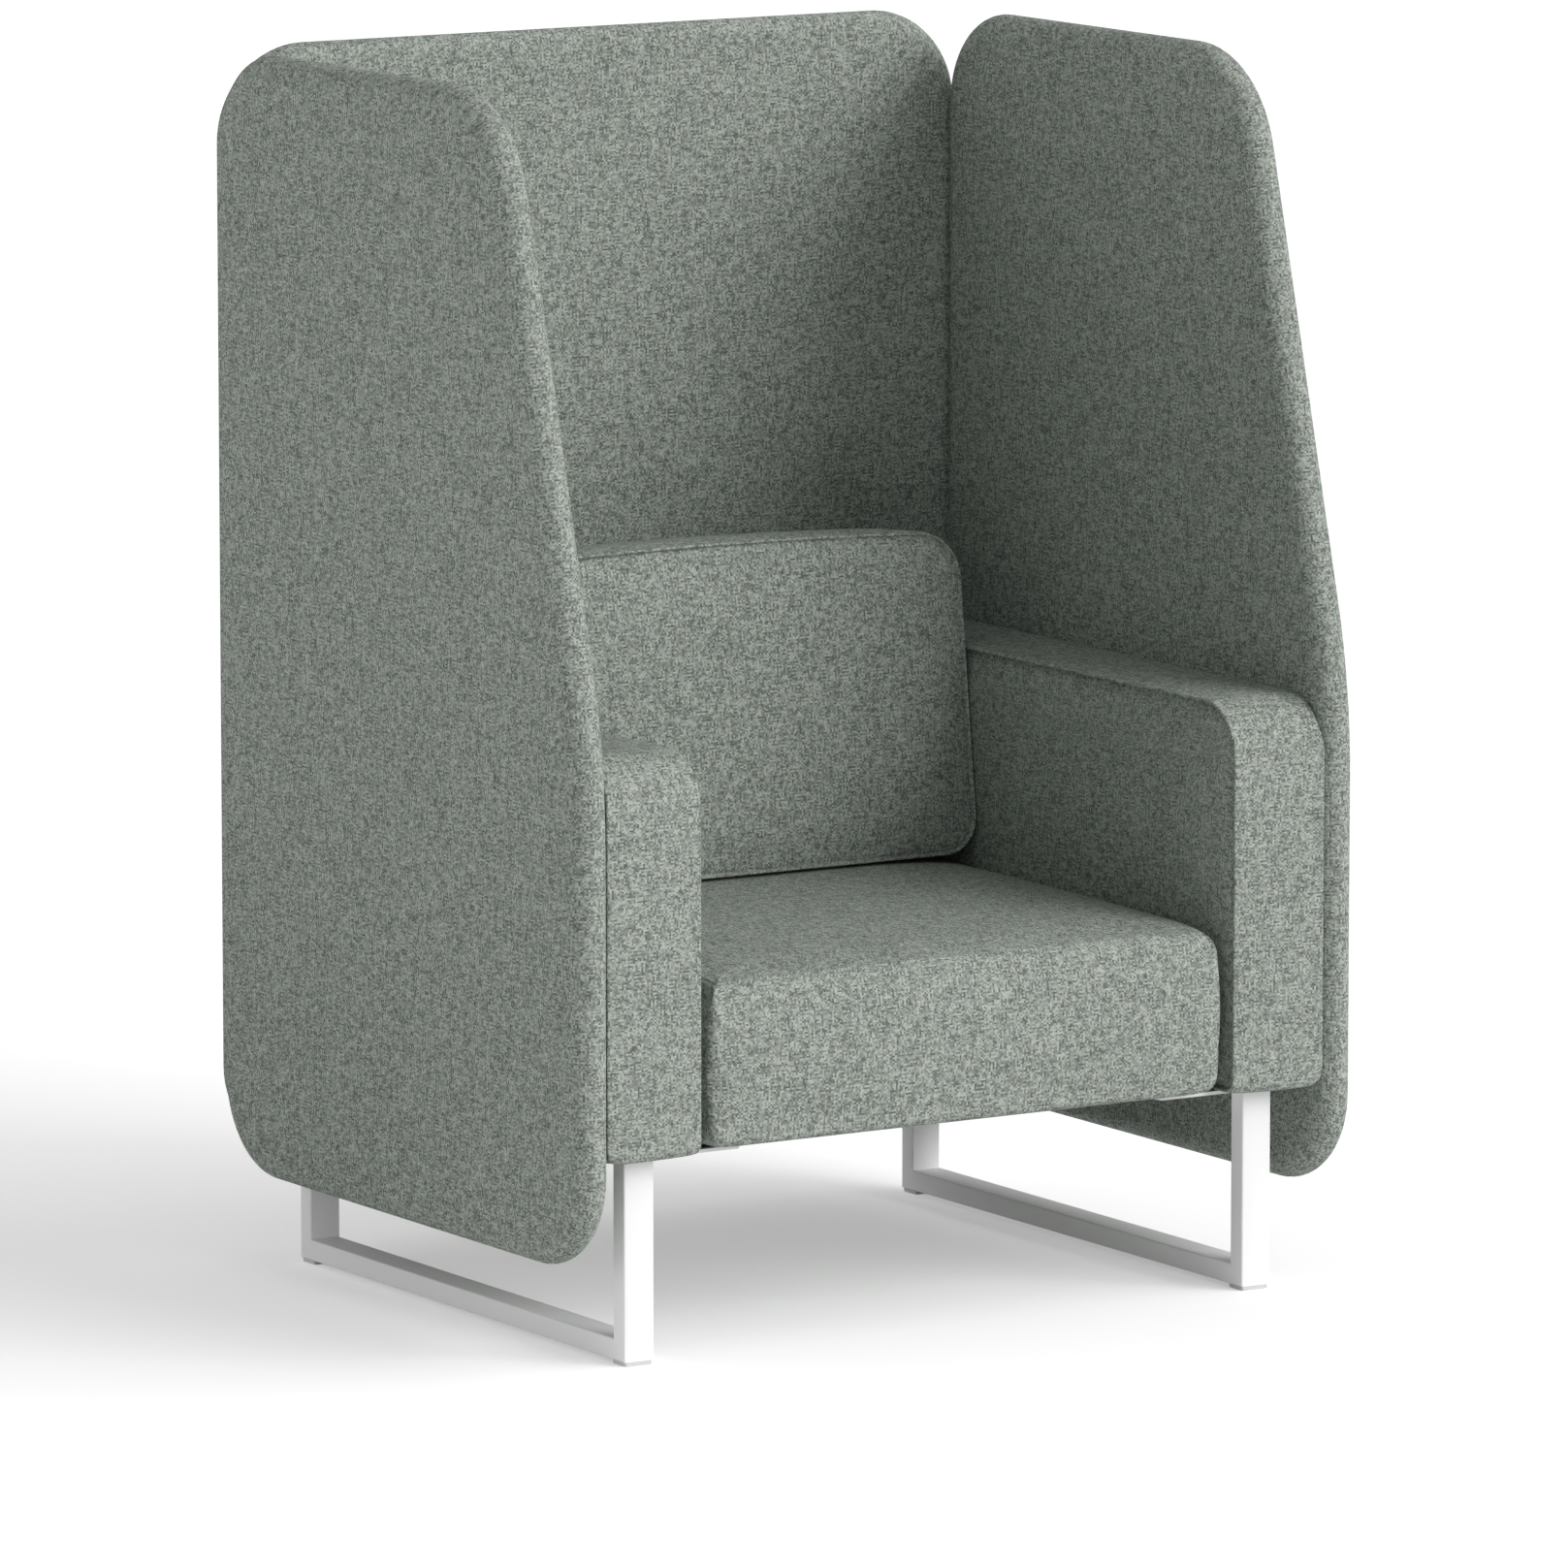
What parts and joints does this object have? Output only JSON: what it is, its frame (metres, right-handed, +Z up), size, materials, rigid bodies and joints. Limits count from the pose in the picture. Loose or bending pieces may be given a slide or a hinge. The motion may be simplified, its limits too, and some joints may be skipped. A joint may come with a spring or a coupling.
{
  "type": "privacy booth seat",
  "caption": "Upholstered one-seat privacy booth: a seat, arms and reclined back cushion inside tall padded side and back screens, standing on steel sled legs.",
  "frame": {"origin": "on the floor, under the middle of the booth's bounding box", "axes": "+Z up, the seat faces -Y, +X to the right as seen from the front"},
  "size_m": [1.064, 0.8798, 1.4539],
  "materials": {
    "woven_fabric": "heathered grey-green woven upholstery",
    "foam": null,
    "particle_board": "bare board, inside the screens",
    "plywood": "bare birch plywood, inside the arms and back",
    "timber": "sawn softwood",
    "webbing": "black elastic webbing",
    "dust_cloth": "black non-woven cloth",
    "powder_coat": "white satin powder coat on steel tube",
    "pad_plastic": "pale moulded plastic",
    "zinc_steel": "zinc plated"
  },
  "bodies": {
    "root": {"back_board": "plywood", "back_cover": "woven_fabric", "back_foam": "foam", "back_screen_core_board": "particle_board", "back_screen_cover": "woven_fabric", "back_screen_inner_foam": "foam", "back_screen_left_bolt": "zinc_steel", "back_screen_outer_foam": "foam", "back_screen_right_bolt": "zinc_steel", "left_arm_cover": "woven_fabric", "left_arm_foam": "foam", "left_arm_front_post": "timber", "left_arm_inner_panel": "plywood", "left_arm_outer_panel": "plywood", "left_arm_rear_post": "timber", "left_leg_front_bolt": "zinc_steel", "left_leg_rear_bolt": "zinc_steel", "left_screen_core_board": "particle_board", "left_screen_cover": "woven_fabric", "left_screen_front_bolt": "zinc_steel", "left_screen_inner_foam": "foam", "left_screen_outer_foam": "foam", "left_screen_rear_bolt": "zinc_steel", "left_seat_bearer": "timber", "left_sled_floor_rail": "powder_coat", "left_sled_front_leg": "powder_coat", "left_sled_front_pad": "pad_plastic", "left_sled_front_plate": "powder_coat", "left_sled_rear_leg": "powder_coat", "left_sled_rear_pad": "pad_plastic", "left_sled_rear_plate": "powder_coat", "right_arm_cover": "woven_fabric", "right_arm_foam": "foam", "right_arm_front_post": "timber", "right_arm_inner_panel": "plywood", "right_arm_outer_panel": "plywood", "right_arm_rear_post": "timber", "right_leg_front_bolt": "zinc_steel", "right_leg_rear_bolt": "zinc_steel", "right_screen_core_board": "particle_board", "right_screen_cover": "woven_fabric", "right_screen_front_bolt": "zinc_steel", "right_screen_inner_foam": "foam", "right_screen_outer_foam": "foam", "right_screen_rear_bolt": "zinc_steel", "right_seat_bearer": "timber", "right_sled_floor_rail": "powder_coat", "right_sled_front_leg": "powder_coat", "right_sled_front_pad": "pad_plastic", "right_sled_front_plate": "powder_coat", "right_sled_rear_leg": "powder_coat", "right_sled_rear_pad": "pad_plastic", "right_sled_rear_plate": "powder_coat", "seat_cover": "woven_fabric", "seat_dust_cloth": "dust_cloth", "seat_foam": "foam", "seat_frame": "timber", "seat_webbing": "webbing"}
  },
  "joints": []
}
